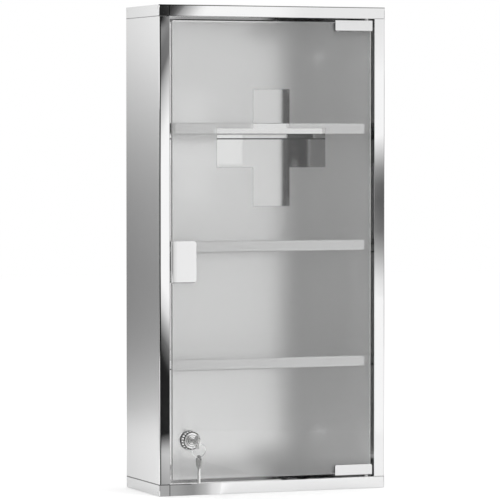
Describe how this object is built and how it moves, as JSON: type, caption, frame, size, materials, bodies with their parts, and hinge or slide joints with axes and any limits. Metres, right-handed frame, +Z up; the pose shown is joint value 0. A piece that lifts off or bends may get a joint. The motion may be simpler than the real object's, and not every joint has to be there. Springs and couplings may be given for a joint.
{
  "type": "lockable medicine cabinet",
  "caption": "Shallow wall cabinet in folded stainless sheet with a frosted glass door, clear plain cross, shelves, magnetic catch and keyed cam lock.",
  "frame": {"origin": "middle of the flat underside", "axes": "+Z up along the height, door faces -Y, back against the wall at +Y, hinges at +X and lock at -X"},
  "size_m": [0.3, 0.1585, 0.6],
  "materials": {
    "polished_steel": "bright polished stainless sheet",
    "shelf_steel": "polished stainless sheet, slightly softer than the body",
    "door_glass": "clear float glass with ground edges",
    "frosted_layer": "satin frosted",
    "clip_metal": "polished plate",
    "hardware_steel": "zinc plated",
    "lock_metal": "nickel plated, turned face",
    "key_metal": "nickel plated",
    "pad_rubber": "thin matt pad",
    "bush_plastic": "moulded nylon",
    "catch_plastic": "moulded",
    "magnet": "ferrite block"
  },
  "bodies": {
    "cabinet": {"top_cap": "polished_steel", "bottom_cap": "polished_steel", "left_side": "polished_steel", "right_side": "polished_steel", "back_panel": "polished_steel", "shelf_top": "shelf_steel", "shelf_middle": "shelf_steel", "shelf_bottom": "shelf_steel", "upper_pivot_bush": "bush_plastic", "lower_pivot_bush": "bush_plastic", "catch_housing": "catch_plastic", "catch_magnet": "magnet", "catch_pole_plates": "hardware_steel", "catch_rivets": "hardware_steel"},
    "door": {"door_glass": "door_glass", "frosted_layer": "frosted_layer", "upper_hinge_clip": "clip_metal", "lower_hinge_clip": "clip_metal", "upper_hinge_pads": "pad_rubber", "lower_hinge_pads": "pad_rubber", "upper_pivot_pin": "hardware_steel", "lower_pivot_pin": "hardware_steel", "hinge_clamp_screws": "hardware_steel", "handle_clip": "clip_metal", "handle_pads": "pad_rubber", "handle_clamp_screws": "hardware_steel", "lock_housing": "lock_metal", "lock_knurled_ring": "lock_metal", "lock_front_washer": "pad_rubber", "lock_rear_washer": "bush_plastic", "lock_nut": "hardware_steel"},
    "lock_plug": {"lock_plug": "lock_metal", "lock_cam": "hardware_steel", "cam_washer": "hardware_steel", "cam_screw": "hardware_steel"},
    "key": {"key": "key_metal"},
    "key_ring": {"key_ring": "key_metal"},
    "spare_key": {"spare_key": "key_metal"}
  },
  "joints": [
    {"name": "door_hinge", "type": "hinge", "parent": "cabinet", "child": "door", "pos_m": [0.1267, -0.05638, 0.3], "axis": [0, 0, 1], "range_deg": [0, 120]},
    {"name": "lock_turn", "type": "hinge", "parent": "door", "child": "lock_plug", "pos_m": [-0.1096, -0.0665, 0.0675], "axis": [0, -1, 0], "range_deg": [0, 90]},
    {"name": "key_pull", "type": "slide", "parent": "lock_plug", "child": "key", "axis": [0, -1, 0], "range_m": [0, 0.014]},
    {"name": "ring_swing", "type": "hinge", "parent": "key", "child": "key_ring", "pos_m": [-0.1096, -0.09, 0.0662], "axis": [1, 0, 0], "range_deg": [-60, 15]},
    {"name": "spare_key_swing", "type": "hinge", "parent": "key_ring", "child": "spare_key", "pos_m": [-0.1096, -0.09, 0.0492], "axis": [1, 0, 0], "range_deg": [-60, 12]}
  ]
}
